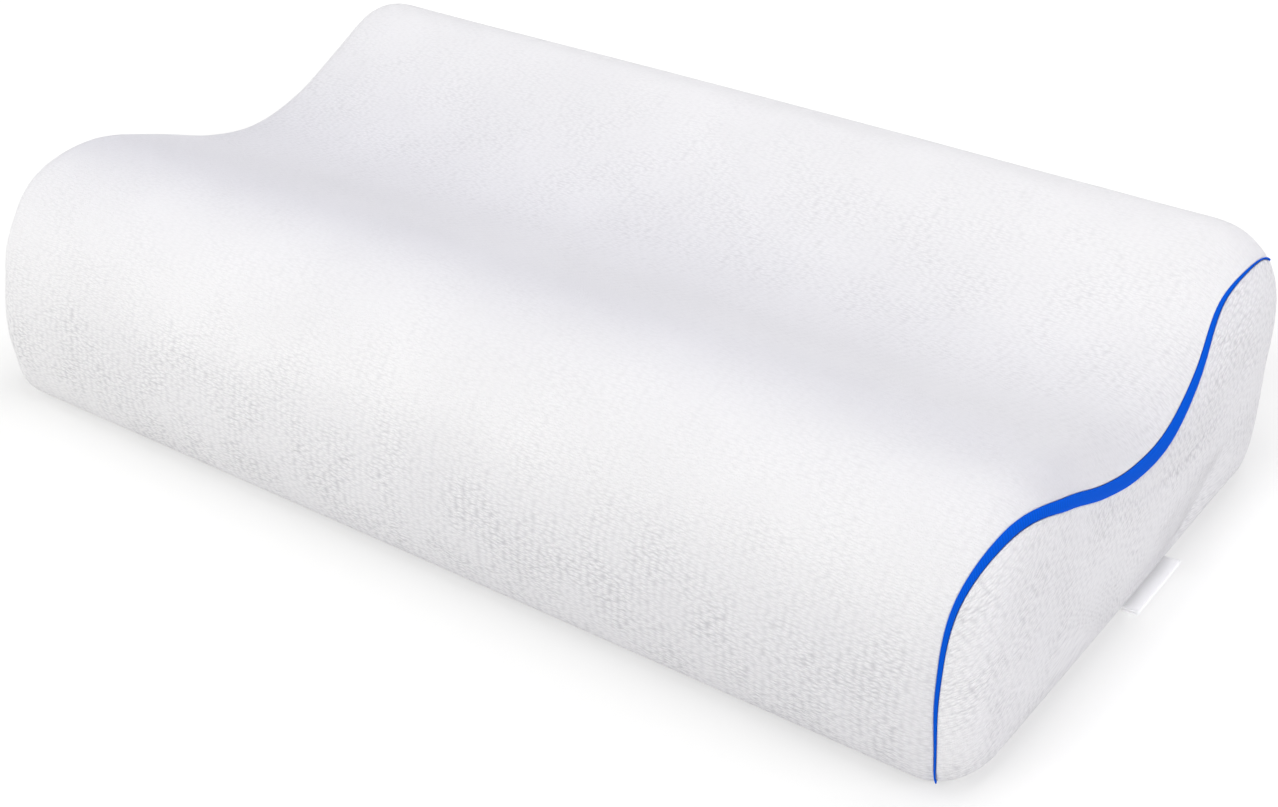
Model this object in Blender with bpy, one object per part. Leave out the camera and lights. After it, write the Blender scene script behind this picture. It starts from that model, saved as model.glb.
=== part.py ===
"""Contour neck pillow: filled body in a knit cover, end panels, a tapering piping and a folded side label.

Metres, +Z up. The origin is the middle of the flat underside, +X runs along the pillow towards the
piped end and +Y from the low front lobe to the high back lobe.
"""

import bpy
import numpy as np

# Overall sizes
pillowLength = 0.600
crownRise = 0.020
footRounding = 0.010
endBulge = 0.003
bulgeRun = 0.060
fullFrom = 0.045
rimLead = -0.006
faceMargin = 0.005

# Cover pieces
sheetThickness = 0.0015
pieceGap = 0.0003
backingGap = 0.0007
edgeStep = 0.0004
plainSeamWidth = 0.0006
underSeamReach = 0.024
underRun = 0.15

# Piping
pipingProud = 0.0009
pipingThinProud = 0.0004
pipingSides = 8

# Folded side label
labelLength = 0.050
labelProud = 0.0085
labelLayer = 0.0010
labelSlot = 0.0006
labelHeight = 0.0044
labelMiddle = 0.001
labelSeat = 0.0028
labelLift = 0.0010
labelNearLift = 0.0004
labelSteps = 10
foldSteps = 7

# Mesh density
lineSteps = 24
sharpAngle = 50.0
topSegments = 42
middleStations = 5
middleSpan = 0.440
rimRings = 3
hemRings = 3
faceShares = (0.30, 0.65, 0.92)
slopeStep = 0.0001

# Section across the pillow: name, distance behind the middle, height above the floor
sectionRows = (
    ("front foot", -0.176, 0.000),
    ("front foot edge", -0.184, 0.004),
    ("front wall", -0.188, 0.022),
    ("front nose", -0.187, 0.054),
    ("front shoulder", -0.176, 0.092),
    ("front brow", -0.152, 0.119),
    ("front crest", -0.113, 0.126),
    ("front slope", -0.072, 0.115),
    ("dip side", -0.030, 0.100),
    ("dip", 0.012, 0.093),
    ("rise foot", 0.054, 0.101),
    ("rise", 0.093, 0.119),
    ("back crest", 0.128, 0.132),
    ("back brow", 0.151, 0.126),
    ("back shoulder", 0.166, 0.100),
    ("back nose", 0.168, 0.056),
    ("back wall", 0.165, 0.022),
    ("back foot edge", 0.161, 0.004),
    ("back foot", 0.153, 0.000),
)

# Radius of the rounded rim at each end: place on the section, radius
pipedRimRows = (
    ("front foot", 0.024),
    ("dip", 0.026),
    ("back crest", 0.040),
    ("back nose", 0.043),
    ("back foot", 0.040),
)
plainRimRows = (
    ("front foot", 0.028),
    ("front nose", 0.024),
    ("front crest", 0.020),
    ("dip", 0.018),
    ("back foot", 0.018),
)

# Where the end seam runs on the rounded rim: place on the section, distance past the rim's start
pipedSeamRows = (
    ("front foot", 0.0098),
    ("front wall", 0.0101),
    ("front nose", 0.0077),
    ("front shoulder", 0.0070),
    ("front brow", 0.0155),
    ("front crest", 0.0274),
    ("front slope", 0.0318),
    ("dip side", 0.0290),
    ("dip", 0.0266),
    ("rise foot", 0.0247),
    ("rise", 0.0228),
    ("back crest", 0.0318),
    ("back brow", 0.0350),
    ("back foot", 0.0340),
)
plainSeamRows = (
    ("front foot", 0.022),
    ("front crest", 0.032),
    ("dip", 0.032),
    ("back crest", 0.032),
    ("back foot", 0.022),
)

# Width of the piping along the section, which it follows from the first row to the last
pipingRows = (
    ("front foot edge", 0.0008),
    ("front nose", 0.0018),
    ("front shoulder", 0.0027),
    ("front brow", 0.0044),
    ("front crest", 0.0061),
    ("front slope", 0.0070),
    ("dip side", 0.0069),
    ("dip", 0.0060),
    ("rise foot", 0.0042),
    ("rise", 0.0024),
    ("back crest", 0.0010),
    ("back brow", 0.0008),
)

# Straight line inside the section towards which the rims and end faces draw in
coreFront = -0.112
coreBack = 0.090
coreHeight = 0.058

coverWhite = (0.90, 0.90, 0.91, 1.0)
panelWhite = (0.84, 0.84, 0.87, 1.0)
pipingBlue = (0.003, 0.105, 0.68, 1.0)
labelWhite = (0.93, 0.93, 0.93, 1.0)


def clearScene():
    for item in list(bpy.data.objects):
        bpy.data.objects.remove(item, do_unlink=True)


def coverMaterial(name, color, roughness):
    material = bpy.data.materials.new(name)
    material.use_nodes = True
    shader = material.node_tree.nodes["Principled BSDF"]
    shader.inputs["Base Color"].default_value = color
    shader.inputs["Roughness"].default_value = roughness
    shader.inputs["Metallic"].default_value = 0.0
    return material


def addPiece(name, points, faces, material):
    mesh = bpy.data.meshes.new(name)
    mesh.from_pydata([tuple(point) for point in points], [], faces)
    mesh.validate()
    mesh.update()
    mesh.shade_smooth()
    mesh.set_sharp_from_angle(angle=np.radians(sharpAngle))
    piece = bpy.data.objects.new(name, mesh)
    bpy.context.scene.collection.objects.link(piece)
    piece.data.materials.append(material)
    return piece


def smoothLine(corners, steps):
    """Points on a centripetal Catmull-Rom line through the corners, and each corner's place in them."""
    corners = np.asarray(corners, dtype=float)
    padded = np.vstack([2 * corners[0] - corners[1], corners, 2 * corners[-1] - corners[-2]])
    points = []
    for before, start, end, after in zip(padded, padded[1:], padded[2:], padded[3:]):
        knots = np.cumsum([0.0] + [np.linalg.norm(b - a) ** 0.5 for a, b in
                                   ((before, start), (start, end), (end, after))])
        for at in np.linspace(knots[1], knots[2], steps, endpoint=False):
            a1 = blend(before, start, knots[0], knots[1], at)
            a2 = blend(start, end, knots[1], knots[2], at)
            a3 = blend(end, after, knots[2], knots[3], at)
            b1 = blend(a1, a2, knots[0], knots[2], at)
            b2 = blend(a2, a3, knots[1], knots[3], at)
            points.append(blend(b1, b2, knots[1], knots[2], at))
    points.append(corners[-1])
    return np.array(points)


def blend(first, second, start, end, at):
    return first + (second - first) * (at - start) / (end - start)


def smoothRows(rows, places):
    """A function of the place along the section that passes smoothly through the named rows."""
    at = np.array([places[name] for name, value in rows])
    values = np.array([value for name, value in rows])
    runs, rises = np.diff(at), np.diff(values)
    grades = rises / runs
    slopes = np.zeros(len(at))
    slopes[1:-1] = (grades[:-1] * runs[1:] + grades[1:] * runs[:-1]) / (runs[:-1] + runs[1:])

    def read(place):
        place = np.clip(place, at[0], at[-1])
        index = np.clip(np.searchsorted(at, place) - 1, 0, len(at) - 2)
        share = (place - at[index]) / runs[index]
        straight = values[index] + rises[index] * share * share * (3.0 - 2.0 * share)
        bend = slopes[index] * (1.0 - share) - slopes[index + 1] * share
        return straight + bend * runs[index] * share * (1.0 - share)

    return read


class Section:
    """The closed outline across the pillow, with the direction in which each point draws in."""

    def __init__(self):
        corners = [(row[1], row[2]) for row in sectionRows]
        line = smoothLine(corners, lineSteps)
        travel = np.concatenate([[0.0], np.cumsum(np.linalg.norm(np.diff(line, axis=0), axis=1))])
        self.line = line
        self.travel = travel / travel[-1]
        self.places = {row[0]: self.travel[index * lineSteps] for index, row in enumerate(sectionRows)}

    def top(self, place):
        depth = np.interp(place, self.travel, self.line[:, 0])
        height = np.interp(place, self.travel, self.line[:, 1])
        return np.stack([depth, np.maximum(height, 0.0)], axis=-1)

    def bottom(self, place):
        front = self.line[0, 0]
        back = self.line[-1, 0]
        depth = front + (back - front) * np.asarray(place)
        return np.stack([depth, np.zeros_like(depth)], axis=-1)

    def core(self, place):
        depth = np.clip(self.top(place)[..., 0], coreFront, coreBack)
        return np.stack([depth, np.full_like(depth, coreHeight)], axis=-1)


def rimRadius(side, place):
    return float(pipedRim(place)) if side > 0 else float(plainRim(place))


def drawnTop(side, place, reach):
    """Point of the section's top or walls, drawn in towards the core where the rim rounds over."""
    outline = section.top(place)
    inward = section.core(place) - outline
    inward /= np.linalg.norm(inward)
    radius = rimRadius(side, place)
    fullness = min(outline[1] / fullFrom, 1.0)
    closed = 1.0 - np.cos(np.clip(reach / radius, 0.0, np.pi / 2))
    past = max(reach - radius * np.pi / 2, 0.0)
    sideways = inward[0] * fullness + np.sign(inward[0]) * (1.0 - fullness)
    lift = footRounding + (inward[1] * radius - footRounding) * fullness
    return outline + np.array([sideways * radius, lift]) * closed + inward * past


def surface(side, place, under, reach):
    """Point of the cover's outer face.

    side is 1 or -1 for the pillow's end, place runs 0 to 1 from the front foot to the back foot, under
    picks the underside, and reach is the distance past the start of the rounded rim.
    """
    radius = rimRadius(side, place)
    turn = np.clip(reach / radius, 0.0, np.pi / 2)
    past = max(reach - radius * np.pi / 2, 0.0)
    closed = 1.0 - np.cos(turn)
    if under:
        front, back = (drawnTop(side, foot, reach)[0] for foot in (0.0, 1.0))
        drawn = np.array([front + (back - front) * place, footRounding * closed + past])
    else:
        drawn = drawnTop(side, place, reach)
    back = radius * (1.0 - np.sin(turn)) - min(reach, 0.0) - endBulge * min(past / bulgeRun, 1.0)
    along = pillowLength / 2 - back
    lift = 1.0 + crownRise * max(1.0 - (2.0 * along / pillowLength) ** 2, 0.0)
    return np.array([side * along, drawn[0], drawn[1] * lift])


def outward(side, place, under, reach):
    """Unit normal of the cover's outer face."""
    start, end = max(place - slopeStep, 0.0), min(place + slopeStep, 1.0)
    across = surface(side, end, under, reach) - surface(side, start, under, reach)
    along = surface(side, place, under, reach + slopeStep) - surface(side, place, under, reach - slopeStep)
    normal = np.cross(across, along)
    point = surface(side, place, under, reach)
    heart = np.array([side * (pillowLength / 2 - rimRadius(side, place)), *section.core(place)])
    if np.dot(normal, point - heart) < 0.0:
        normal = -normal
    return normal / np.linalg.norm(normal)


def sunk(side, place, under, reach, depth):
    return surface(side, place, under, reach) - outward(side, place, under, reach) * depth


def seamReach(side, place, under):
    """Where the seam between the wrap and an end panel runs, past the start of the rim."""
    seam = pipedSeam if side > 0 else plainSeam
    if not under:
        return float(seam(place))
    edge = float(seam(0.0)) if place < 0.5 else float(seam(1.0))
    share = min(place, 1.0 - place, underRun) / underRun
    return edge + (underSeamReach - edge) * share


def channelHalf(side, place, under):
    """Half the width of the seam's channel, wide where the piping lies in it."""
    if side > 0 and place in pipedPlaces and not under:
        return float(pipingWidth(place)) / 2 + pieceGap
    return plainSeamWidth / 2


def ring(side, depth, reachOf):
    return [sunk(side, place, under, reachOf(place, under), depth) for place, under in stations]


def middleRing(along):
    return ring(1, 0.0, lambda place, under: along - pillowLength / 2 + rimRadius(1, place))


def rimRing(side, share):
    """Ring of the wrap on the rounded rim, up to the seam."""
    def reachOf(place, under):
        end = seamReach(side, place, under) - channelHalf(side, place, under)
        return rimLead + (end - rimLead) * share
    return ring(side, 0.0, reachOf)


def ledgeRing(side, depth):
    """Ring just past the wrap's cut edge, on the floor of the seam's channel."""
    def reachOf(place, under):
        return seamReach(side, place, under) - channelHalf(side, place, under) + edgeStep
    return ring(side, depth, reachOf)


def hemRing(side, share, depth):
    """Ring between an end panel's cut edge and the flat of the end face."""
    def reachOf(place, under):
        first = seamReach(side, place, under) + channelHalf(side, place, under)
        last = rimRadius(side, place) * np.pi / 2 + faceMargin
        return first + (last - first) * share
    return ring(side, depth, reachOf)


def faceRing(side, edge, share, depth):
    """Ring on the end face, drawn in from the edge ring towards the section's core."""
    points = []
    for (place, under), rim in zip(stations, edge):
        face = side * (pillowLength / 2 + endBulge - depth)
        core = np.array([face, *section.core(place)])
        point = rim + (core - rim) * share
        point[0] = rim[0] + (face - rim[0]) * min(2.0 * share, 1.0)
        points.append(point)
    return points


def endRings(side, depth):
    """Rings from an end panel's cut edge to the middle of the end face."""
    rings = [hemRing(side, share, depth) for share in np.linspace(0.0, 1.0, hemRings + 1)]
    return rings + [faceRing(side, rings[-1], share, depth) for share in faceShares]


def bridge(rows, offset=0):
    """Faces between each ring of a list and the next one."""
    count = len(stations)
    faces = []
    for row in range(rows - 1):
        for index in range(count):
            following = (index + 1) % count
            near = offset + row * count
            faces.append((near + index, near + following, near + count + following, near + count + index))
    return faces


def lid(offset):
    """Faces that close a ring, from its top half straight down to its lower half."""
    count = len(stations)
    faces = []
    for index in range(topSegments):
        corners = (index, index + 1, count - index - 1, (count - index) % count)
        kept = tuple(dict.fromkeys(corners))
        faces.append(tuple(offset + corner for corner in kept))
    return faces


def turned(faces):
    return [face[::-1] for face in faces]


def buildBody(material):
    depth = sheetThickness + backingGap
    ends = {}
    for side in (-1, 1):
        rim = [rimRing(side, share) for share in np.linspace(0.0, 1.0, rimRings + 1)]
        ends[side] = rim + [ledgeRing(side, depth)] + endRings(side, depth)
    spread = np.linspace(-middleSpan / 2, middleSpan / 2, middleStations)
    middle = [middleRing(along) for along in spread]
    rings = ends[-1][::-1] + middle + ends[1]
    last = (len(rings) - 1) * len(stations)
    faces = turned(bridge(len(rings))) + lid(0) + turned(lid(last))
    return addPiece("pillow_body", np.concatenate(rings), faces, material)


def buildEndPanel(name, side, material):
    outer = endRings(side, 0.0)
    inner = endRings(side, sheetThickness)
    rings = inner[::-1] + outer
    last = (len(rings) - 1) * len(stations)
    faces = bridge(len(rings)) + turned(lid(0)) + lid(last)
    faces = turned(faces) if side > 0 else faces
    return addPiece(name, np.concatenate(rings), faces, material)


def buildPiping(material):
    """Tapering cord in the seam's channel, oval in section."""
    points = []
    for place in pipedPlaces:
        reach = seamReach(1, place, False)
        width = float(pipingWidth(place))
        up = outward(1, place, False, reach)
        sideways = surface(1, place, False, reach + slopeStep) - surface(1, place, False, reach - slopeStep)
        sideways /= np.linalg.norm(sideways)
        proud = pipingProud * width / max(row[1] for row in pipingRows) + pipingThinProud
        middle = surface(1, place, False, reach) + up * (proud - sheetThickness) / 2
        for step in range(pipingSides):
            angle = 2.0 * np.pi * step / pipingSides
            points.append(middle + sideways * np.cos(angle) * width / 2
                          + up * np.sin(angle) * (proud + sheetThickness) / 2)
    faces = []
    for row in range(len(pipedPlaces) - 1):
        for step in range(pipingSides):
            following = (step + 1) % pipingSides
            near, far = row * pipingSides, (row + 1) * pipingSides
            faces.append((near + step, near + following, far + following, far + step))
    faces.append(tuple(range(pipingSides))[::-1])
    faces.append(tuple((len(pipedPlaces) - 1) * pipingSides + step for step in range(pipingSides)))
    return addPiece("seam_piping", points, turned(faces), material)


def labelOutline():
    """Section of the folded label: one strip that goes out, turns at the fold and comes back."""
    half = labelLayer + labelSlot / 2
    foldStart = labelProud - half
    turns = np.linspace(-np.pi / 2, np.pi / 2, foldSteps)
    outer = [(0.0, -half)] + [(foldStart + half * np.cos(turn), half * np.sin(turn)) for turn in turns]
    outer.append((0.0, half))
    inner = [(0.0, labelSlot / 2)]
    inner += [(foldStart + labelSlot / 2 * np.cos(turn), labelSlot / 2 * np.sin(turn)) for turn in turns[::-1]]
    inner.append((0.0, -labelSlot / 2))
    return outer + inner


def buildLabel(material):
    """Label held in the bottom seam of the piped end, its fold outwards and a little raised."""
    outline = labelOutline()
    lower = surface(1, 0.5, True, underSeamReach)
    points = []
    for share in np.linspace(0.0, 1.0, labelSteps + 1):
        depth = labelLength * (share - 0.5)
        raised = labelNearLift + (labelLift - labelNearLift) * share
        for out, up in outline:
            height = labelHeight + up + raised * out / labelProud
            points.append((lower[0] + labelSeat + out, labelMiddle + depth, height))
    count = len(outline)
    faces = []
    for row in range(labelSteps):
        for step in range(count):
            following = (step + 1) % count
            near, far = row * count, (row + 1) * count
            faces.append((near + step, near + following, far + following, far + step))
    faces.append(tuple(range(count))[::-1])
    faces.append(tuple(labelSteps * count + step for step in range(count)))
    return addPiece("side_label", points, turned(faces), material)


section = Section()
stations = [(share, False) for share in np.linspace(0.0, 1.0, topSegments + 1)]
stations += [(share, True) for share, under in stations[-2:0:-1]]
pipedStart, pipedEnd = (section.places[pipingRows[row][0]] for row in (0, -1))
pipedPlaces = [share for share, under in stations if not under and pipedStart <= share <= pipedEnd]
pipedRim = smoothRows(pipedRimRows, section.places)
plainRim = smoothRows(plainRimRows, section.places)
pipedSeam = smoothRows(pipedSeamRows, section.places)
plainSeam = smoothRows(plainSeamRows, section.places)
pipingWidth = smoothRows(pipingRows, section.places)

clearScene()
cover = coverMaterial("knit cover", coverWhite, 0.92)
buildBody(cover)
buildEndPanel("end_panel_left", -1, coverMaterial("end panel knit", panelWhite, 0.92))
buildEndPanel("end_panel_right", 1, coverMaterial("piped end panel knit", panelWhite, 0.92))
buildPiping(coverMaterial("blue piping", pipingBlue, 0.55))
buildLabel(coverMaterial("woven label", labelWhite, 0.60))
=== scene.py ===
import bpy
import numpy as np
from mathutils import Matrix


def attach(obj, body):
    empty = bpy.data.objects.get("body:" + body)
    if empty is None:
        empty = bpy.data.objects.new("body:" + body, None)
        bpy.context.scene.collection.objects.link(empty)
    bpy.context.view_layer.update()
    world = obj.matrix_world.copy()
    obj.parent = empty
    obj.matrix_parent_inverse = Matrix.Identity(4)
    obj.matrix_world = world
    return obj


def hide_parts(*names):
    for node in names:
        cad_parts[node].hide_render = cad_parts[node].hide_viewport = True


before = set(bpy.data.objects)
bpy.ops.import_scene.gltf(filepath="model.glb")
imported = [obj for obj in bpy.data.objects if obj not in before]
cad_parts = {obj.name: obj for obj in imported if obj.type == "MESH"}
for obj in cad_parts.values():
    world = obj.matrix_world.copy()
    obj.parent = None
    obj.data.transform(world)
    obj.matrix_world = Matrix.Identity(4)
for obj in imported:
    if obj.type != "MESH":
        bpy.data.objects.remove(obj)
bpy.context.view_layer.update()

print("frame loaded:", ", ".join(sorted(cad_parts)))

# Camera: the framing is 1278 x 807, and the place is in metres in the pillow's own frame
cameraView = {
    "imageWidth": 1278.0,
    "imageHeight": 807.0,
    "focalPixels": 2019.46,
    "azimuth": 35.043,
    "elevation": 30.758,
    "roll": 0.239,
    "axisAcross": 656.56,  # where the lens axis meets the image, in pixels from the left
    "axisDown": 401.34,
    "place": (0.55743, -0.77256, 0.56927),
    "sensor": 36.0,
    "nearest": 0.02,
}


def addCamera(values):
    azimuth, elevation, roll = (np.radians(values[key]) for key in ("azimuth", "elevation", "roll"))
    back = np.array([np.sin(azimuth) * np.cos(elevation), -np.cos(azimuth) * np.cos(elevation),
                     np.sin(elevation)])
    right = np.array([np.cos(azimuth), np.sin(azimuth), 0.0])
    up = np.cross(back, right)
    rolledRight = right * np.cos(roll) + up * np.sin(roll)
    rolledUp = up * np.cos(roll) - right * np.sin(roll)
    turn = Matrix([list(row) for row in np.stack([rolledRight, rolledUp, back], axis=1)])
    bpy.ops.object.camera_add(location=values["place"], rotation=turn.to_euler())
    camera = bpy.context.object
    camera.name = "studioCamera"
    lens = camera.data
    lens.sensor_fit = "HORIZONTAL"
    lens.sensor_width = values["sensor"]
    lens.lens = values["focalPixels"] / values["imageWidth"] * values["sensor"]
    lens.shift_x = (values["imageWidth"] / 2 - values["axisAcross"]) / values["imageWidth"]
    lens.shift_y = (values["axisDown"] - values["imageHeight"] / 2) / values["imageWidth"]
    lens.clip_start = values["nearest"]
    bpy.context.scene.camera = camera


addCamera(cameraView)
print("camera placed")

# The pillow's form: a section across it, and ends that round over and draw in towards a core line
form = {
    "length": 0.600,
    "crownRise": 0.020,  # share of the height
    "footRounding": 0.010,
    "endBulge": 0.003,
    "bulgeRun": 0.060,
    "fullFrom": 0.045,  # height from which the rim draws straight in towards the core
    "rimLead": -0.006,
    "faceMargin": 0.005,
    "underSeamReach": 0.024,
    "underRun": 0.15,
    "coreFront": -0.112,
    "coreBack": 0.090,
    "coreHeight": 0.058,
    "lineSteps": 24,
    "slopeStep": 0.0001,
    "section": (  # name, depth, height
        ("front foot", -0.176, 0.000),
        ("front foot edge", -0.184, 0.004),
        ("front wall", -0.188, 0.022),
        ("front nose", -0.187, 0.054),
        ("front shoulder", -0.176, 0.092),
        ("front brow", -0.152, 0.119),
        ("front crest", -0.113, 0.126),
        ("front slope", -0.072, 0.115),
        ("dip side", -0.030, 0.100),
        ("dip", 0.012, 0.093),
        ("rise foot", 0.054, 0.101),
        ("rise", 0.093, 0.119),
        ("back crest", 0.128, 0.132),
        ("back brow", 0.151, 0.126),
        ("back shoulder", 0.166, 0.100),
        ("back nose", 0.168, 0.056),
        ("back wall", 0.165, 0.022),
        ("back foot edge", 0.161, 0.004),
        ("back foot", 0.153, 0.000),
    ),
    "pipedRim": (  # radius over which the end rounds
        ("front foot", 0.024), ("dip", 0.026), ("back crest", 0.040), ("back nose", 0.043),
        ("back foot", 0.040),
    ),
    "plainRim": (
        ("front foot", 0.028), ("front nose", 0.024), ("front crest", 0.020), ("dip", 0.018),
        ("back foot", 0.018),
    ),
    "pipedSeam": (  # how far past the rim's start the seam runs
        ("front foot", 0.0098), ("front wall", 0.0101), ("front nose", 0.0077),
        ("front shoulder", 0.0070), ("front brow", 0.0155), ("front crest", 0.0274),
        ("front slope", 0.0318), ("dip side", 0.0290), ("dip", 0.0266), ("rise foot", 0.0247),
        ("rise", 0.0228), ("back crest", 0.0318), ("back brow", 0.0350), ("back foot", 0.0340),
    ),
    "plainSeam": (
        ("front foot", 0.022), ("front crest", 0.032), ("dip", 0.032), ("back crest", 0.032),
        ("back foot", 0.022),
    ),
}

# Piping: a tapering cord in the end seam
piping = {
    "proud": 0.0006,
    "thinProud": 0.0004,  # what even its thin ends stand out by
    "depth": 0.0015,
    "gap": 0.0001,
    "stations": 320,
    "sides": 16,
    "girth": 0.012,
    "widths": (
        ("front foot edge", 0.0008), ("front nose", 0.0018), ("front shoulder", 0.0027),
        ("front brow", 0.0044), ("front crest", 0.0061), ("front slope", 0.0070),
        ("dip side", 0.0069), ("dip", 0.0060), ("rise foot", 0.0042), ("rise", 0.0024),
        ("back crest", 0.0010), ("back brow", 0.0008),
    ),
    "blue": (0.0025, 0.100, 0.68, 1.0),
    "deepShare": 0.8,
    "roughness": 0.8,
    "gloss": 0.02,
    "threads": 300.0,
    "threadRelief": 0.3,
    "threadHeight": 0.0001,
}


def blendPoints(first, second, start, end, at):
    return first + (second - first) * (at - start) / (end - start)


# Points on a centripetal Catmull-Rom line through the corners
def smoothLine(corners, steps):
    padded = np.vstack([2 * corners[0] - corners[1], corners, 2 * corners[-1] - corners[-2]])
    points = []
    for run in zip(padded, padded[1:], padded[2:], padded[3:]):
        knots = np.cumsum([0.0] + [np.linalg.norm(b - a) ** 0.5 for a, b in zip(run, run[1:])])
        for at in np.linspace(knots[1], knots[2], steps, endpoint=False):
            ones = [blendPoints(run[i], run[i + 1], knots[i], knots[i + 1], at) for i in range(3)]
            twos = [blendPoints(ones[i], ones[i + 1], knots[i], knots[i + 2], at) for i in range(2)]
            points.append(blendPoints(twos[0], twos[1], knots[1], knots[2], at))
    points.append(corners[-1])
    return np.array(points)


def travelAlong(line):
    return np.concatenate([[0.0], np.cumsum(np.linalg.norm(np.diff(line, axis=0), axis=1))])


sectionLine = smoothLine(np.array([row[1:] for row in form["section"]]), form["lineSteps"])
sectionTravel = travelAlong(sectionLine)
girthTop = sectionTravel[-1]
sectionTravel = sectionTravel / girthTop
places = {row[0]: sectionTravel[index * form["lineSteps"]] for index, row in enumerate(form["section"])}


# A value along the section that passes smoothly through its named rows
def smoothRows(rows, place):
    at = np.array([places[name] for name, value in rows])
    values = np.array([value for name, value in rows])
    runs, rises = np.diff(at), np.diff(values)
    grades = rises / runs
    slopes = np.zeros(len(at))
    slopes[1:-1] = (grades[:-1] * runs[1:] + grades[1:] * runs[:-1]) / (runs[:-1] + runs[1:])
    place = np.clip(place, at[0], at[-1])
    index = np.clip(np.searchsorted(at, place) - 1, 0, len(at) - 2)
    share = (place - at[index]) / runs[index]
    straight = values[index] + rises[index] * share * share * (3.0 - 2.0 * share)
    bend = slopes[index] * (1.0 - share) - slopes[index + 1] * share
    return straight + bend * runs[index] * share * (1.0 - share)


def sectionTop(place):
    depth = np.interp(place, sectionTravel, sectionLine[:, 0])
    height = np.maximum(np.interp(place, sectionTravel, sectionLine[:, 1]), 0.0)
    return np.stack([depth, height], axis=-1)


def sectionCore(place):
    depth = np.clip(sectionTop(place)[..., 0], form["coreFront"], form["coreBack"])
    return np.stack([depth, np.full_like(depth, form["coreHeight"])], axis=-1)


def rimRadius(side, place):
    return smoothRows(form["pipedRim"] if side > 0 else form["plainRim"], place)


# The section's top and walls, drawn in towards the core where the rim rounds over
def drawnTop(side, place, reach):
    outline = sectionTop(place)
    inward = sectionCore(place) - outline
    inward /= np.linalg.norm(inward, axis=-1, keepdims=True)
    radius = rimRadius(side, place)
    full = np.minimum(outline[..., 1] / form["fullFrom"], 1.0)
    closed = 1.0 - np.cos(np.clip(reach / radius, 0.0, np.pi / 2))
    past = np.maximum(reach - radius * np.pi / 2, 0.0)
    sideways = (inward[..., 0] * full + np.sign(inward[..., 0]) * (1.0 - full)) * radius
    lift = form["footRounding"] + (inward[..., 1] * radius - form["footRounding"]) * full
    return outline + np.stack([sideways, lift], axis=-1) * closed[..., None] + inward * past[..., None]


# The cover's outer face: place runs from the front foot to the back foot, on top or under
def surface(side, place, under, reach):
    radius = rimRadius(side, place)
    turn = np.clip(reach / radius, 0.0, np.pi / 2)
    past = np.maximum(reach - radius * np.pi / 2, 0.0)
    closed = 1.0 - np.cos(turn)
    front = drawnTop(side, np.zeros_like(place), reach)[..., 0]
    back = drawnTop(side, np.ones_like(place), reach)[..., 0]
    low = np.stack([front + (back - front) * place, form["footRounding"] * closed + past], axis=-1)
    drawn = np.where(under[..., None], low, drawnTop(side, place, reach))
    bulge = form["endBulge"] * np.minimum(past / form["bulgeRun"], 1.0)
    half = form["length"] / 2
    along = half - radius * (1.0 - np.sin(turn)) + np.minimum(reach, 0.0) + bulge
    lift = 1.0 + form["crownRise"] * np.maximum(1.0 - (along / half) ** 2, 0.0)
    return np.stack([side * along, drawn[..., 0], drawn[..., 1] * lift], axis=-1)


def outward(side, place, under, reach):
    step = form["slopeStep"]
    start, end = np.maximum(place - step, 0.0), np.minimum(place + step, 1.0)
    across = surface(side, end, under, reach) - surface(side, start, under, reach)
    along = surface(side, place, under, reach + step) - surface(side, place, under, reach - step)
    normal = np.cross(across, along)
    point = surface(side, place, under, reach)
    core = sectionCore(place)
    start = side * (form["length"] / 2 - rimRadius(side, place))
    heart = np.stack([start, core[:, 0], core[:, 1]], axis=-1)
    facing = np.sum(normal * (point - heart), axis=-1, keepdims=True)
    normal = np.where(facing < 0.0, -normal, normal)
    return normal / np.linalg.norm(normal, axis=-1, keepdims=True)


def sunk(side, place, under, reach, depth):
    return surface(side, place, under, reach) - outward(side, place, under, reach) * depth


def seamReach(side, place, under):
    rows = form["pipedSeam"] if side > 0 else form["plainSeam"]
    seam = smoothRows(rows, place)
    front, back = smoothRows(rows, np.zeros_like(place)), smoothRows(rows, np.ones_like(place))
    edge = np.where(place < 0.5, front, back)
    share = np.minimum(np.minimum(place, 1.0 - place), form["underRun"]) / form["underRun"]
    below = edge + (form["underSeamReach"] - edge) * share
    return np.where(under, below, seam)


# Cover: mesh density, hems, and how far the filling swells it
cover = {
    "topSegments": 72,
    "middleRings": 76,
    "rimRings": 7,
    "hemRings": 7,
    "faceRings": 8,
    "patchShare": 0.78,  # how far the rings on an end face run in before a flat patch closes it
    "patchRows": 8,
    "sheetThickness": 0.0015,
    "backingGap": 0.0007,
    "edgeStep": 0.0004,
    "plainSeam": 0.0006,
    "hemRoll": 0.0005,  # width over which a hem turns down into its seam
    "rollShoulder": (0.35, 0.12),  # where the turn begins, and how deep it is there, as shares of that width
    "rollDrop": 0.6,
    "rollRoom": 7.0,
    "pressure": 4.0,
    "frames": 20,
    "swellCap": 0.0016,
    "floorPin": 0.006,
    "mergeWithin": 0.00002,
    "fill": 0.9,
    "panelFlat": (0.35, 0.14),
    "panelArea": 0.033,
}


def channelHalf(side, place, under):
    plain = np.full_like(place, cover["plainSeam"] / 2)
    if side < 0:
        return plain
    start, end = (places[piping["widths"][row][0]] for row in (0, -1))
    inChannel = (place >= start) & (place <= end) & ~under
    return np.where(inChannel, smoothRows(piping["widths"], place) / 2 + piping["gap"], plain)


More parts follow.
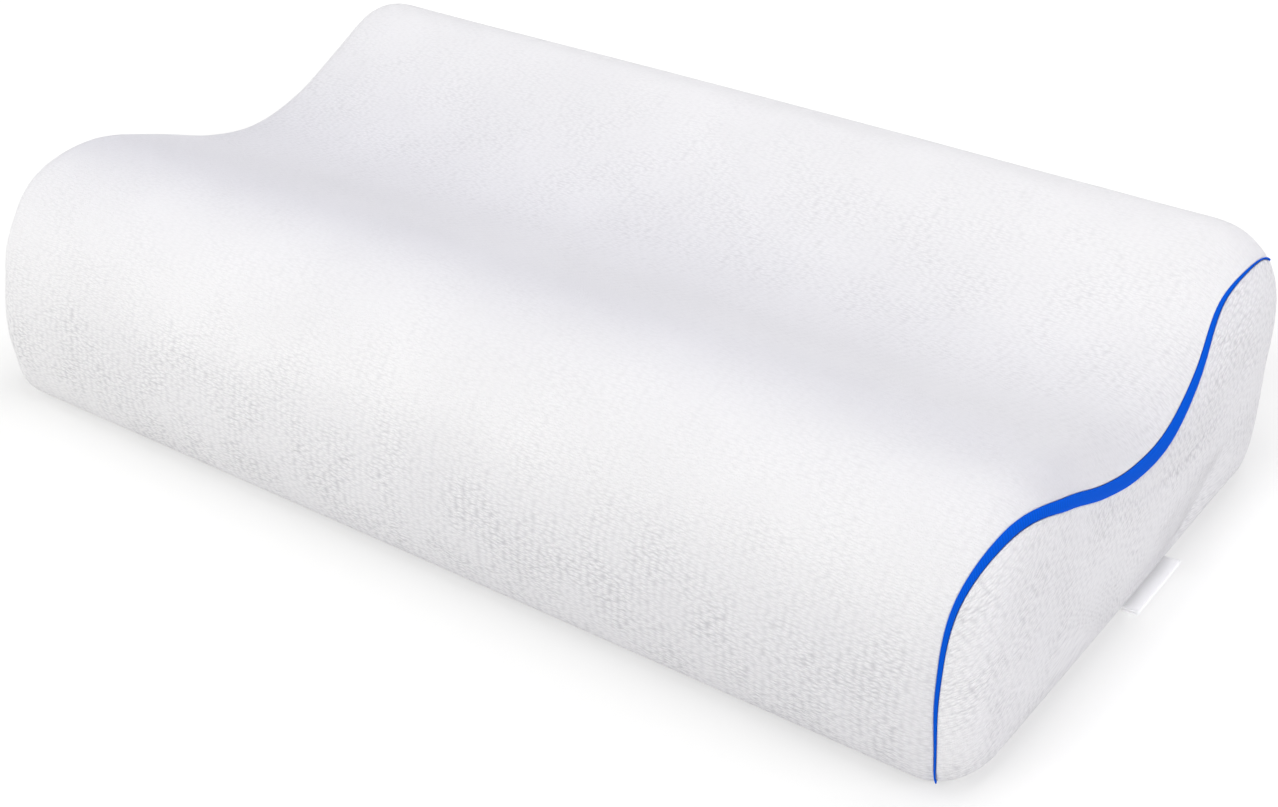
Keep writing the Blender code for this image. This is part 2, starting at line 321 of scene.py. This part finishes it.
topPlaces = np.linspace(0.0, 1.0, cover["topSegments"] + 1)
stationPlace = np.concatenate([topPlaces, topPlaces[-2:0:-1]])
stationUnder = np.arange(len(stationPlace)) > cover["topSegments"]
baseWidth = sectionTop(np.array([1.0]))[0, 0] - sectionTop(np.array([0.0]))[0, 0]
stationGirth = np.where(stationUnder, girthTop + (1.0 - stationPlace) * baseWidth, stationPlace * girthTop)


# By place: a painted shade and painted highlight on the cover and on the end panels' rims, and how far the
# ribs stand out of the pile, which lies flatter on the lobes
pile = {
    # Painted shade and painted highlight across the section: darker over the front crest and the dip,
    # lighter on the front shoulder
    "wrapPaintedShading": (
        ("front foot", 1.0), ("front wall", 1.01), ("front nose", 1.02), ("front shoulder", 1.045),
        ("front brow", 0.995), ("front crest", 0.865), ("front slope", 0.88), ("dip side", 0.88),
        ("dip", 0.89), ("rise foot", 0.94), ("rise", 0.98), ("back crest", 0.985),
        ("back shoulder", 1.0), ("back foot", 0.96),
    ),
    # The two slants below paint light and shade along the length: the painted tone grows lighter or darker
    # towards each end
    "wrapPaintedSlant": (  # by how much the tone rises from the middle to the piped end
        ("front foot", -0.02), ("front nose", -0.02), ("front brow", 0.0), ("front slope", 0.06),
        ("dip side", 0.06), ("dip", 0.07), ("rise foot", 0.07), ("rise", 0.05), ("back crest", 0.02),
        ("back foot", 0.0),
    ),
    "plainPaintedSlant": (  # by how much it rises from the middle to the plain end
        ("front foot", 0.065), ("front nose", 0.035), ("front shoulder", -0.01), ("front crest", -0.03),
        ("dip side", -0.03), ("dip", -0.04), ("rise foot", -0.045), ("rise", -0.03),
        ("back crest", -0.015), ("back foot", 0.0),
    ),
    "wrapRelief": (
        ("front foot", 1.0), ("front nose", 0.8), ("front shoulder", 0.30), ("front brow", 0.20),
        ("front crest", 0.15), ("dip side", 0.35), ("dip", 0.45), ("rise", 0.30),
        ("back crest", 0.15), ("back shoulder", 0.5), ("back foot", 1.0),
    ),
    # Painted highlight and shade on the end panels' rounded rims: lightest low at the front, darker at the
    # dip
    "rimPaintedShading": (
        ("front foot", 1.09), ("front nose", 1.10), ("front crest", 1.00), ("dip", 0.93),
        ("back crest", 0.96), ("back foot", 1.02),
    ),
    "panelPaintedShading": 1.0,
    "panelRelief": 0.8,
    "rimFade": 1.7,
    # Painted shade turns bluer and painted highlight warmer: the blue share of a painted tone follows it to
    # a power
    "paintedShadeTint": 0.75,  # the blue share of a tone follows it to this power
}


def alongStations(rows, under):
    return np.where(stationUnder, under, smoothRows(pile[rows], stationPlace))


# Painted shade and highlight, rib relief and painted slants at each station round the pillow
stationPaintedShading = alongStations("wrapPaintedShading", 1.0)
stationRelief = alongStations("wrapRelief", 1.0)
stationPaintedSlant = alongStations("wrapPaintedSlant", 0.0)
plainPaintedSlant = alongStations("plainPaintedSlant", 0.0)
rimPaintedShading = alongStations("rimPaintedShading", 1.0)


# Painted shade and highlight, and rib relief, of every ring point: on an end panel the painted rim highlight
# fades into its flat middle
def paintedShadeAndRibRelief(rings, onPanel):
    if onPanel:
        shares = np.clip(1.0 - np.arange(len(rings)) / (cover["hemRings"] + 1), 0.0, 1.0) ** pile["rimFade"]
        tones = pile["panelPaintedShading"] + (rimPaintedShading[None, :] - pile["panelPaintedShading"]) * shares[:, None]
        reliefs = np.full_like(tones, pile["panelRelief"])
    else:
        along = np.array([ring[0][:, 0] for ring in rings]) / (form["length"] / 2)
        slants = stationPaintedSlant * np.maximum(along, 0.0) + plainPaintedSlant * np.maximum(-along, 0.0)
        tones = stationPaintedShading * (1.0 + slants)
        reliefs = np.tile(stationRelief, (len(rings), 1))
    return np.stack([tones, tones, tones ** pile["paintedShadeTint"], reliefs], axis=-1).reshape(-1, 4)


# A ring of points round the pillow, with its distance along the cloth, for the weave
def ringAt(side, reach, depth):
    reach = np.broadcast_to(reach, stationPlace.shape).astype(float)
    points = sunk(side, stationPlace, stationUnder, reach, depth)
    travel = form["length"] / 2 - rimRadius(side, stationPlace) + reach
    return points, side * travel


# Where cloth ends beside the seam: the wrap before it (-1), an end panel past it (1)
def hemReach(side, past):
    seam = seamReach(side, stationPlace, stationUnder)
    return seam + past * channelHalf(side, stationPlace, stationUnder)


def wrapRings(side):
    hem = hemReach(side, -1)
    roll = cover["hemRoll"]
    inset, dip = cover["rollShoulder"]
    rings = []
    for share in np.linspace(0.0, 1.0, cover["rimRings"]):
        rings.append(ringAt(side, form["rimLead"] + (hem - roll - form["rimLead"]) * share, 0.0))
    rings.append(ringAt(side, hem - roll * inset, roll * dip))
    rings.append(ringAt(side, hem, roll * cover["rollDrop"]))
    return rings


def endRings(side, depth, edgeRoll):
    first = hemReach(side, 1)
    roll = cover["hemRoll"]
    inset, dip = cover["rollShoulder"]
    rimEnd = rimRadius(side, stationPlace) * np.pi / 2 + form["faceMargin"]
    last = np.maximum(rimEnd, first + roll * cover["rollRoom"])
    rings = []
    if edgeRoll:
        rings.append(ringAt(side, first, depth + roll * cover["rollDrop"]))
        rings.append(ringAt(side, first + roll * inset, depth + roll * dip))
    for share in np.linspace(0.0, 1.0, cover["hemRings"]):
        rings.append(ringAt(side, first + roll + (last - first - roll) * share, depth))
    rim, travel = rings[-1]
    face = side * (form["length"] / 2 + form["endBulge"] - depth)
    core = sectionCore(stationPlace)
    middle = np.stack([np.full(len(core), face), core[:, 0], core[:, 1]], axis=-1)
    for share in np.linspace(0.0, 1.0, cover["faceRings"] + 1)[1:]:
        points = rim + (middle - rim) * share * cover["patchShare"]
        points[:, 0] = rim[:, 0] + (face - rim[:, 0]) * (1.0 - (1.0 - share) ** 2)
        run = np.linalg.norm(middle - rim, axis=-1)
        rings.append((points, travel + side * run * share * cover["patchShare"]))
    return rings


# Flat patch that closes an end: rows between the top and the underside of its last ring
def patchFaces(points, last, flip):
    count = len(stationPlace)
    segments = cover["topSegments"]
    rows = cover["patchRows"]
    added, faces = [], []
    grid = []
    for index in range(segments + 1):
        top, low = last + index, last + (count - index) % count
        column = [top]
        if top != low and index not in (0, segments):
            for share in np.linspace(0.0, 1.0, rows + 1)[1:-1]:
                column.append(len(points) + len(added))
                added.append(points[top] + (points[low] - points[top]) * share)
            column.append(low)
        grid.append(column)
    for left, right in zip(grid, grid[1:]):
        wide = left if len(left) > 1 else right
        if len(left) == 1 or len(right) == 1:
            tip = left[0] if len(left) == 1 else right[0]
            for near, far in zip(wide, wide[1:]):
                faces.append((tip, near, far) if len(left) == 1 else (near, tip, far))
        else:
            for row in range(rows):
                faces.append((left[row], right[row], right[row + 1], left[row + 1]))
    return added, [face[::-1] if flip else face for face in faces]


# Places on the flat cloth of an end panel, spread from the core line outwards
def spreadCloth(points):
    flat = [points[-1][:, 1:]]
    for inner, outer in zip(points[::-1], points[-2::-1]):
        core = np.clip(flat[-1][:, 0], form["coreFront"], form["coreBack"])
        away = flat[-1] - np.stack([core, np.full_like(core, form["coreHeight"])], axis=1)
        away /= np.linalg.norm(away, axis=1, keepdims=True)
        flat.append(flat[-1] + away * np.linalg.norm(outer - inner, axis=1, keepdims=True))
    return np.concatenate(flat[::-1])


def newPiece(name, points, faces):
    mesh = bpy.data.meshes.new(name)
    mesh.from_pydata(points, [], faces)
    piece = bpy.data.objects.new(name, mesh)
    bpy.context.scene.collection.objects.link(piece)
    return piece


# A skin from rings round the pillow, closed by flat patches at the ends that are asked for
def skinFromRings(name, rings, flip, patches, spread):
    count = len(stationPlace)
    points = np.concatenate([ring[0] for ring in rings])
    total = girthTop + baseWidth
    faces = []
    for row in range(len(rings) - 1):
        for index in range(count):
            following = (index + 1) % count
            near = row * count
            face = (near + index, near + following, near + count + following, near + count + index)
            faces.append(face[::-1] if flip else face)
    if spread:
        cloth = spreadCloth([ring[0] for ring in rings])
    else:
        travel = np.concatenate([ring[1] for ring in rings])
        cloth = np.stack([travel, np.tile(stationGirth, len(rings))], axis=1)
    for last, turned in patches:
        added, patch = patchFaces(points, last, turned)
        points = np.concatenate([points, added])
        cloth = np.concatenate([cloth, np.array(added)[:, 1:]])
        faces += patch
    piece = newPiece(name, points.tolist(), faces)
    mesh = piece.data
    layer = mesh.uv_layers.new(name="cloth")
    coordinates = []
    ringPoints = len(rings) * count
    for polygon in mesh.polygons:
        wraps = not spread and any(v < ringPoints and v % count == count - 1 for v in polygon.vertices)
        for vertex in polygon.vertices:
            along, girth = cloth[vertex]
            if wraps and vertex < ringPoints and vertex % count == 0:
                girth = total
            coordinates.append((along, girth))
    layer.data.foreach_set("uv", np.array(coordinates).ravel())
    # The tone attribute: painted shade and highlight in its colour, rib relief in its alpha
    colors = np.ones((len(points), 4))
    colors[:ringPoints] = paintedShadeAndRibRelief(rings, spread)
    if spread:
        colors[ringPoints:] = colors[ringPoints - 1]
    mesh.attributes.new("tone", "FLOAT_COLOR", "POINT").data.foreach_set("color", colors.ravel())
    return piece


def makeActive(piece):
    for item in bpy.context.selected_objects:
        item.select_set(False)
    piece.select_set(True)
    bpy.context.view_layer.objects.active = piece


# Merges points within a distance, if one is given, and turns all faces outwards
def cleanMesh(piece, within=0.0):
    makeActive(piece)
    bpy.ops.object.mode_set(mode="EDIT")
    bpy.ops.mesh.select_all(action="SELECT")
    if within > 0.0:
        bpy.ops.mesh.remove_doubles(threshold=within)
    bpy.ops.mesh.normals_make_consistent(inside=False)
    bpy.ops.object.mode_set(mode="OBJECT")


def applyModifier(piece, modifier):
    makeActive(piece)
    bpy.ops.object.modifier_apply(modifier=modifier.name)


def subdivide(piece, levels):
    modifier = piece.modifiers.new("softening", "SUBSURF")
    modifier.levels = levels
    modifier.render_levels = levels
    applyModifier(piece, modifier)


def solidify(piece, thickness):
    modifier = piece.modifiers.new("cloth thickness", "SOLIDIFY")
    modifier.thickness = thickness
    modifier.offset = -1.0
    applyModifier(piece, modifier)


def finishPiece(piece, material, slotName, *nodes):
    piece.data.materials.clear()
    piece.data.materials.append(material)
    makeActive(piece)
    bpy.ops.object.shade_smooth()
    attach(piece, "root")
    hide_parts(*nodes)


# Cloth simulation: the filling presses the cover out between its hems and its flat base
def swell(piece, held, values):
    rest = np.array([vertex.co[:] for vertex in piece.data.vertices])
    group = piece.vertex_groups.new(name="held")
    group.add([int(index) for index in np.flatnonzero(held)], 1.0, "REPLACE")
    modifier = piece.modifiers.new("filling", "CLOTH")
    modifier.settings.vertex_group_mass = "held"
    modifier.settings.use_pressure = True
    modifier.settings.uniform_pressure_force = values["pressure"]
    modifier.settings.effector_weights.gravity = 0.0
    modifier.point_cache.frame_start = 1
    modifier.point_cache.frame_end = values["frames"]
    for step in range(1, values["frames"] + 1):
        bpy.context.scene.frame_set(step)
    applyModifier(piece, modifier)
    moved = np.array([vertex.co[:] for vertex in piece.data.vertices]) - rest
    reach = np.linalg.norm(moved, axis=1, keepdims=True)
    cap = values["swellCap"]
    share = cap * np.tanh(reach / cap) / np.maximum(reach, 1e-9)
    settled = rest + moved * np.where(reach > 1e-9, share, 1.0)
    settled[:, 2] = np.maximum(settled[:, 2], 0.0)
    piece.data.vertices.foreach_set("co", settled.ravel())
    piece.data.update()
    piece.vertex_groups.clear()
    bpy.context.scene.frame_set(1)
    print("cover filled, largest free move in mm:", round(float(reach.max()) * 1000, 2))


# Materials
def newMaterial(name, color, roughness, sheen):
    material = bpy.data.materials.new(name)
    material.use_nodes = True
    shader = material.node_tree.nodes["Principled BSDF"]
    shader.inputs["Base Color"].default_value = color
    shader.inputs["Roughness"].default_value = roughness
    shader.inputs["Sheen Weight"].default_value = sheen
    shader.inputs["Sheen Roughness"].default_value = 0.5
    shader.inputs["Specular IOR Level"].default_value = 0.25
    return material, material.node_tree, shader


def addNode(tree, kind, **values):
    node = tree.nodes.new(kind)
    for name, value in values.items():
        setattr(node, name, value)
    return node


def scaledCoordinates(tree, output, scale, turn=0.0):
    mapping = addNode(tree, "ShaderNodeMapping")
    mapping.inputs["Scale"].default_value = scale
    mapping.inputs["Rotation"].default_value = (0.0, 0.0, turn)
    tree.links.new(output, mapping.inputs["Vector"])
    return mapping.outputs["Vector"]


def noiseOn(tree, vector, scale, detail):
    noise = addNode(tree, "ShaderNodeTexNoise", noise_dimensions="2D")
    noise.inputs["Scale"].default_value = scale
    noise.inputs["Detail"].default_value = detail
    tree.links.new(vector, noise.inputs["Vector"])
    return noise.outputs["Fac"]


def mathNode(tree, operation, first, second):
    node = addNode(tree, "ShaderNodeMath", operation=operation)
    for socket, value in zip(node.inputs, (first, second)):
        if isinstance(value, float):
            socket.default_value = value
        else:
            tree.links.new(value, socket)
    return node.outputs["Value"]


def vectorNode(tree, operation, first, second=(0.0, 0.0, 0.0)):
    node = addNode(tree, "ShaderNodeVectorMath", operation=operation)
    tree.links.new(first, node.inputs[0])
    node.inputs[1].default_value = second
    return node.outputs["Vector"]


def rangeNode(tree, value, low, high, first, last):
    node = addNode(tree, "ShaderNodeMapRange")
    tree.links.new(value, node.inputs["Value"])
    for name, number in (("From Min", low), ("From Max", high), ("To Min", first), ("To Max", last)):
        node.inputs[name].default_value = number
    return node.outputs["Result"]


def colorSockets(sockets):
    return [socket for socket in sockets if socket.type == "RGBA"]


def colorBetween(tree, factor, low, high):
    mix = addNode(tree, "ShaderNodeMix", data_type="RGBA")
    tree.links.new(factor, mix.inputs["Factor"])
    first, second = colorSockets(mix.inputs)
    first.default_value = low
    second.default_value = high
    return colorSockets(mix.outputs)[0]


def bumpInto(tree, shader, height, strength, distance):
    bump = addNode(tree, "ShaderNodeBump")
    bump.inputs["Strength"].default_value = strength
    bump.inputs["Distance"].default_value = distance
    tree.links.new(height, bump.inputs["Height"])
    tree.links.new(bump.outputs["Normal"], shader.inputs["Normal"])


# Velour knit: short broken ribs along the cloth, a fine pile, and slow changes of tone
knit = {
    "light": (0.878, 0.874, 0.884, 1.0),
    "shade": (0.620, 0.616, 0.636, 1.0),
    "roughness": 0.9,
    "sheen": 0.2,
    "ribLength": 0.0040,
    "ribPitch": 0.0011,
    "ribMiddle": 0.62,
    "ribHeight": 0.0006,
    "ribContrast": 1.7,
    "ribScatter": 0.7,
    "ribWander": 0.9,
    "pileSize": 0.0008,
    "pileHeight": 0.0003,
    "patchSize": 0.030,  # where the ribs stand out and where the pile hides them
    "patchRange": (0.35, 0.65, 0.45, 1.0),
    "slowSize": 0.090,
    "slowRange": (0.3, 0.7, 0.50, 0.60),
    "panelTurn": -0.45,
}


def knitMaterial(name, turn):
    material, tree, shader = newMaterial(name, knit["light"], knit["roughness"], knit["sheen"])
    uv = addNode(tree, "ShaderNodeUVMap", uv_map="cloth").outputs["UV"]
    uv = scaledCoordinates(tree, uv, (1.0, 1.0, 1.0), turn)
    wander = noiseOn(tree, uv, 1.0 / knit["ribLength"], 1.0)
    stretched = scaledCoordinates(tree, uv, (1.0 / knit["ribLength"], 1.0 / knit["ribPitch"], 1.0))
    shifted = addNode(tree, "ShaderNodeVectorMath", operation="MULTIPLY_ADD")
    tree.links.new(wander, shifted.inputs[0])
    shifted.inputs[1].default_value = (0.0, knit["ribWander"], 0.0)
    tree.links.new(stretched, shifted.inputs[2])
    cells = addNode(tree, "ShaderNodeTexVoronoi", voronoi_dimensions="2D", feature="F1")
    cells.inputs["Scale"].default_value = 1.0
    cells.inputs["Randomness"].default_value = knit["ribScatter"]
    tree.links.new(shifted.outputs["Vector"], cells.inputs["Vector"])
    # The tone attribute: painted shade and highlight by place in its colour, rib relief in its alpha
    paintedShadeAndRelief = addNode(tree, "ShaderNodeAttribute", attribute_name="tone")
    rib = mathNode(tree, "SUBTRACT", 1.0 - knit["ribMiddle"], cells.outputs["Distance"])
    patch = rangeNode(tree, noiseOn(tree, uv, 1.0 / knit["patchSize"], 3.0), *knit["patchRange"])
    relief = mathNode(tree, "MULTIPLY", patch, paintedShadeAndRelief.outputs["Alpha"])
    ribbed = mathNode(tree, "MULTIPLY", rib, relief)
    fine = noiseOn(tree, uv, 1.0 / knit["pileSize"], 2.0)
    fine = mathNode(tree, "MULTIPLY", fine, knit["pileHeight"] / knit["ribHeight"])
    bumpInto(tree, shader, mathNode(tree, "ADD", ribbed, fine), 1.0, knit["ribHeight"])
    slow = rangeNode(tree, noiseOn(tree, uv, 1.0 / knit["slowSize"], 2.0), *knit["slowRange"])
    tone = mathNode(tree, "ADD", mathNode(tree, "MULTIPLY", ribbed, knit["ribContrast"]), slow)
    mixed = colorBetween(tree, tone, knit["shade"], knit["light"])
    # The knit's colour multiplied by the painted shade and highlight
    paintedShadeApplied = addNode(tree, "ShaderNodeMix", data_type="RGBA", blend_type="MULTIPLY")
    paintedShadeApplied.inputs["Factor"].default_value = 1.0
    first, second = colorSockets(paintedShadeApplied.inputs)
    tree.links.new(mixed, first)
    tree.links.new(paintedShadeAndRelief.outputs["Color"], second)
    tree.links.new(colorSockets(paintedShadeApplied.outputs)[0], shader.inputs["Base Color"])
    return material


wrapKnit = knitMaterial("velour knit", 0.0)
panelKnit = knitMaterial("end panel knit", knit["panelTurn"])


def pipingMaterial(values):
    material, tree, shader = newMaterial("blue piping cloth", values["blue"], values["roughness"], 0.0)
    shader.inputs["Specular IOR Level"].default_value = values["gloss"]
    uv = addNode(tree, "ShaderNodeUVMap", uv_map="cloth").outputs["UV"]
    slanted = scaledCoordinates(tree, uv, (1.0, 1.0, 1.0), np.pi / 4)
    weave = addNode(tree, "ShaderNodeTexWave", wave_type="BANDS")
    weave.inputs["Scale"].default_value = values["threads"]
    tree.links.new(slanted, weave.inputs["Vector"])
    deep = tuple(part * values["deepShare"] for part in values["blue"][:3]) + (1.0,)
    woven = colorBetween(tree, weave.outputs["Fac"], deep, values["blue"])
    tree.links.new(woven, shader.inputs["Base Color"])
    bumpInto(tree, shader, weave.outputs["Fac"], values["threadRelief"], values["threadHeight"])
    return material


# Label: one woven strip, folded, its ends in the bottom seam of the piped end
label = {
    "flat": (0.050, 0.022),
    "proud": 0.0085,
    "layer": 0.0010,
    "slot": 0.0006,
    "height": 0.0044,
    "middle": 0.001,
    "seat": 0.0028,
    "lift": 0.0010,
    "liftShares": (0.4, 0.6),  # at its near end, and what is added towards its far end
    "steps": 24,
    "foldSteps": 11,
    "white": (0.92, 0.92, 0.93, 1.0),
    "shade": (0.84, 0.84, 0.86, 1.0),
    # The label glows a little: painted light that lifts it out of the shade under the end panel
    "paintedGlow": 0.22,
    "roughness": 0.5,
    "sheen": 0.1,
    "threads": 700.0,
    "threadRelief": 0.4,
    "threadHeight": 0.00008,
}


def labelMaterial(values):
    material, tree, shader = newMaterial("woven label cloth", values["white"], values["roughness"],
                                         values["sheen"])
    # Painted light: the label glows white
    shader.inputs["Emission Color"].default_value = values["white"]
    shader.inputs["Emission Strength"].default_value = values["paintedGlow"]
    place = addNode(tree, "ShaderNodeTexCoord").outputs["Object"]
    weave = addNode(tree, "ShaderNodeTexWave", wave_type="BANDS", bands_direction="Y")
    weave.inputs["Scale"].default_value = values["threads"]
    tree.links.new(place, weave.inputs["Vector"])
    woven = colorBetween(tree, weave.outputs["Fac"], values["shade"], values["white"])
    tree.links.new(woven, shader.inputs["Base Color"])
    bumpInto(tree, shader, weave.outputs["Fac"], values["threadRelief"], values["threadHeight"])
    return material


# The filled pillow in its wrap, with a base for the end panels; True marks what the filling can't move
def buildCover():
    depth = cover["sheetThickness"] + cover["backingGap"]
    rings, held = [], []
    for side in (-1, 1):
        wrap = wrapRings(side)
        wrap.append(ringAt(side, hemReach(side, -1) + cover["edgeStep"], depth))
        end = endRings(side, depth, False)
        part = wrap + end
        pins = [False] * (cover["rimRings"] - 1) + [True] * (len(part) - cover["rimRings"] + 1)
        if side < 0:
            rings, held = part[::-1], pins[::-1]
            startX = -(form["length"] / 2 - rimRadius(-1, stationPlace) + form["rimLead"])
        else:
            endX = form["length"] / 2 - rimRadius(1, stationPlace) + form["rimLead"]
            for share in np.linspace(0.0, 1.0, cover["middleRings"] + 2)[1:-1]:
                along = startX + (endX - startX) * share
                reach = along - form["length"] / 2 + rimRadius(1, stationPlace)
                rings.append(ringAt(1, reach, 0.0))
                held.append(False)
            rings += part
            held += pins
    count = len(stationPlace)
    patches = ((0, False), ((len(rings) - 1) * count, True))
    piece = skinFromRings("pillow_cover", rings, True, patches, False)
    keep = np.repeat(np.array(held), count)
    keep = np.concatenate([keep, np.ones(len(piece.data.vertices) - len(keep), dtype=bool)])
    heights = np.array([vertex.co.z for vertex in piece.data.vertices])
    keep |= heights < cover["floorPin"]
    return piece, keep


def buildEndPanel(name, side):
    rings = endRings(side, 0.0, True)
    last = (len(rings) - 1) * len(stationPlace)
    piece = skinFromRings(name, rings, side > 0, ((last, side > 0),), True)
    cleanMesh(piece, cover["mergeWithin"])
    subdivide(piece, 1)
    solidify(piece, cover["sheetThickness"])
    return piece


def buildPiping(values):
    widths = values["widths"]
    place = np.linspace(places[widths[0][0]], places[widths[-1][0]], values["stations"])
    under = np.zeros(len(place), dtype=bool)
    reach = seamReach(1, place, under)
    width = smoothRows(widths, place)
    up = outward(1, place, under, reach)
    step = form["slopeStep"]
    sideways = surface(1, place, under, reach + step) - surface(1, place, under, reach - step)
    sideways /= np.linalg.norm(sideways, axis=-1, keepdims=True)
    proud = values["proud"] * width / max(row[1] for row in widths) + values["thinProud"]
    middle = surface(1, place, under, reach) + up * ((proud - values["depth"]) / 2)[:, None]
    travel = travelAlong(middle)
    sides = values["sides"]
    points, faces, coordinates = [], [], []
    for row in range(len(place)):
        for turn in np.linspace(0.0, 2.0 * np.pi, sides, endpoint=False):
            points.append(middle[row] + sideways[row] * np.cos(turn) * width[row] / 2
                          + up[row] * np.sin(turn) * (proud[row] + values["depth"]) / 2)
    for row in range(len(place) - 1):
        for index in range(sides):
            following = (index + 1) % sides
            near, far = row * sides, (row + 1) * sides
            faces.append((near + index, far + index, far + following, near + following))
            shares = (index / sides, (index + 1) / sides)
            pairs = ((row, shares[0]), (row + 1, shares[0]), (row + 1, shares[1]), (row, shares[1]))
            coordinates += [(travel[line], share * values["girth"]) for line, share in pairs]
    faces.append(tuple(range(sides)))
    faces.append(tuple((len(place) - 1) * sides + index for index in range(sides))[::-1])
    coordinates += [(0.0, 0.0)] * (2 * sides)
    piece = newPiece("piping", [tuple(point) for point in points], faces)
    layer = piece.data.uv_layers.new(name="cloth")
    layer.data.foreach_set("uv", np.array(coordinates).ravel())
    cleanMesh(piece)
    return piece


def buildLabel(values):
    half = values["layer"] + values["slot"] / 2
    foldStart = values["proud"] - half
    turns = np.linspace(-np.pi / 2, np.pi / 2, values["foldSteps"])
    outline = [(0.0, -half)] + [(foldStart + half * np.cos(t), half * np.sin(t)) for t in turns]
    outline += [(0.0, half)]
    inner = values["slot"] / 2
    outline += [(0.0, inner)] + [(foldStart + inner * np.cos(t), inner * np.sin(t)) for t in turns[::-1]]
    outline += [(0.0, -inner)]
    lower = surface(1, np.array([0.5]), np.array([True]), np.array([form["underSeamReach"]]))[0]
    nearLift, addedLift = values["liftShares"]
    points, faces = [], []
    for share in np.linspace(0.0, 1.0, values["steps"] + 1):
        along = values["middle"] + values["flat"][0] * (share - 0.5)
        raised = values["lift"] * (nearLift + addedLift * share)
        for out, up in outline:
            height = values["height"] + up + raised * out / values["proud"]
            points.append((lower[0] + values["seat"] + out, along, height))
    count = len(outline)
    for row in range(values["steps"]):
        for index in range(count):
            following = (index + 1) % count
            near, far = row * count, (row + 1) * count
            faces.append((near + index, far + index, far + following, near + following))
    faces.append(tuple(range(count)))
    faces.append(tuple(values["steps"] * count + index for index in range(count))[::-1])
    piece = newPiece("folded_label", points, faces)
    cleanMesh(piece)
    return piece


coverPiece, coverHeld = buildCover()
swell(coverPiece, coverHeld, cover)
cleanMesh(coverPiece, cover["mergeWithin"])
subdivide(coverPiece, 1)
finishPiece(coverPiece, wrapKnit, "knit_cover", "pillow_body")
print("cover done:", len(coverPiece.data.polygons), "faces")

for name, side in (("left", -1), ("right", 1)):
    panel = buildEndPanel("end_cover_" + name, side)
    finishPiece(panel, panelKnit, "panel_knit", "end_panel_" + name)
    print("end panel done:", name)

pipingPiece = buildPiping(piping)
finishPiece(pipingPiece, pipingMaterial(piping), "blue_piping", "seam_piping")
print("piping done")

labelPiece = buildLabel(label)
finishPiece(labelPiece, labelMaterial(label), "woven_label", "side_label")
print("label done")

# Studio: pale floor that glows, with a painted shadow where it glows less next to the pillow and painted
# light to its right, even light from all round, and soft lights
studio = {
    "floorSize": 40.0,
    "floorDrop": 0.0002,
    "floor": (0.50, 0.50, 0.495, 1.0),
    "footprint": (0.290, 0.165, 0.0),  # half sizes; the floor glows more away from it, so it is darker next to the pillow: a painted shadow
    "paintedShadowGlow": 0.40,
    "farGlow": 0.55,
    # Extra glow on the floor's right side: painted light that lightens the shadow there
    "rightPaintedLight": 0.13,
    "rightFrom": 0.27,
    "rightTo": 0.33,
    "glowFrom": 0.04,
    "glowTo": 0.30,
    "world": (0.95, 0.94, 1.0, 1.0),
    "worldStrength": 0.30,
    "lights": (  # name, place, size, power, color
        ("overheadSoftbox", (0.0, 0.0, 2.0), 1.4, 16.2, (1.0, 1.0, 0.98)),
        ("frontSoftbox", (-0.3, -1.6, 1.5), 1.4, 13.8, (1.0, 1.0, 0.985)),
        ("leftSoftbox", (-1.8, -0.8, 1.2), 1.4, 12.5, (1.0, 1.0, 0.975)),
        ("cornerSoftbox", (1.5, -1.9, 0.7), 1.2, 5.7, (1.0, 0.985, 1.02)),
        ("rightSoftbox", (2.2, 0.2, 1.0), 1.4, 14.6, (1.0, 0.985, 1.02)),
        ("backSoftbox", (0.0, 1.8, 1.4), 1.4, 9.2, (1.0, 0.99, 1.0)),
    ),
}


def aimAt(direction):
    back = -direction / np.linalg.norm(direction)
    right = np.cross([0.0, 0.0, 1.0], back)
    right /= np.linalg.norm(right)
    up = np.cross(back, right)
    return Matrix([list(row) for row in np.stack([right, up, back], axis=1)]).to_euler()


def addStudio(values):
    bpy.ops.mesh.primitive_plane_add(size=values["floorSize"], location=(0.0, 0.0, -values["floorDrop"]))
    floor = bpy.context.object
    floor.name = "studioFloor"
    material, tree, shader = newMaterial("glowing floor with painted shadow", values["floor"], 0.9, 0.0)
    shader.inputs["Emission Color"].default_value = (1.0, 1.0, 1.0, 1.0)
    # The floor's glow paints a shadow round the pillow: weakest next to its footprint, rising away from it,
    # with more to the right
    place = addNode(tree, "ShaderNodeTexCoord").outputs["Object"]
    past = vectorNode(tree, "SUBTRACT", vectorNode(tree, "ABSOLUTE", place), values["footprint"])
    past = vectorNode(tree, "MAXIMUM", past, (0.0, 0.0, 0.0))
    away = addNode(tree, "ShaderNodeVectorMath", operation="LENGTH")
    tree.links.new(past, away.inputs[0])
    paintedGlow = rangeNode(tree, away.outputs["Value"], values["glowFrom"], values["glowTo"],
                     values["paintedShadowGlow"], values["farGlow"])
    parts = addNode(tree, "ShaderNodeSeparateXYZ")
    tree.links.new(place, parts.inputs["Vector"])
    right = rangeNode(tree, parts.outputs["X"], values["rightFrom"], values["rightTo"],
                      0.0, values["rightPaintedLight"])
    tree.links.new(mathNode(tree, "ADD", paintedGlow, right), shader.inputs["Emission Strength"])
    floor.data.materials.append(material)
    world = bpy.data.worlds.new("studio")
    bpy.context.scene.world = world
    world.use_nodes = True
    background = world.node_tree.nodes["Background"]
    background.inputs["Color"].default_value = values["world"]
    background.inputs["Strength"].default_value = values["worldStrength"]
    for name, place, size, power, color in values["lights"]:
        bpy.ops.object.light_add(type="AREA", location=place)
        light = bpy.context.object
        light.name = name
        light.data.shape = "DISK"
        light.data.size = size
        light.data.energy = power
        light.data.color = color
        light.rotation_euler = aimAt(-np.array(place))
    bpy.context.scene.view_settings.view_transform = "Standard"


addStudio(studio)
print("studio lit")
